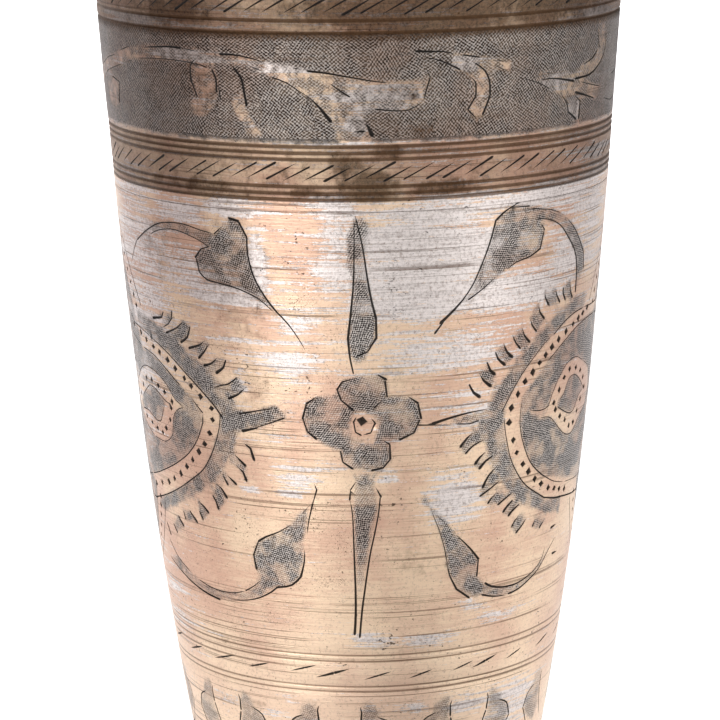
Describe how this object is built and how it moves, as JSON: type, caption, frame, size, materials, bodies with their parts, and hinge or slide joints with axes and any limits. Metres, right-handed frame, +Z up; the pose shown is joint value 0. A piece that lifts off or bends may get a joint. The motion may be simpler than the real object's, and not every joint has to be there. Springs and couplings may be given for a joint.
{
  "type": "engraved metal tumbler",
  "caption": "Tall tapering brass drinking tumbler with a beaded rim, a waisted hollow foot, turned rings, chased floral medallions and a tinned inside",
  "frame": {"origin": "centre of the ring on which the foot rests", "axes": "+Z up along the axis of the tumbler, +X to the right and +Y to the back of the side that carries the flower"},
  "size_m": [0.1134, 0.1134, 0.19],
  "materials": {
    "engraved_brass": "worn tin over chased and hatched brass, brown in the bands",
    "cast_brass": "turned and worn, brown in the hollows",
    "sheet_brass": "dull, unpolished",
    "tin": "wiped tin, dull and streaked",
    "braze": "rough filler metal"
  },
  "bodies": {
    "root": {"barrel": "engraved_brass", "rim_ring": "cast_brass", "foot_ring": "cast_brass", "floor_disc": "sheet_brass", "tin_lining": "tin", "rim_braze": "braze", "foot_braze": "braze", "floor_braze": "braze"}
  },
  "joints": []
}
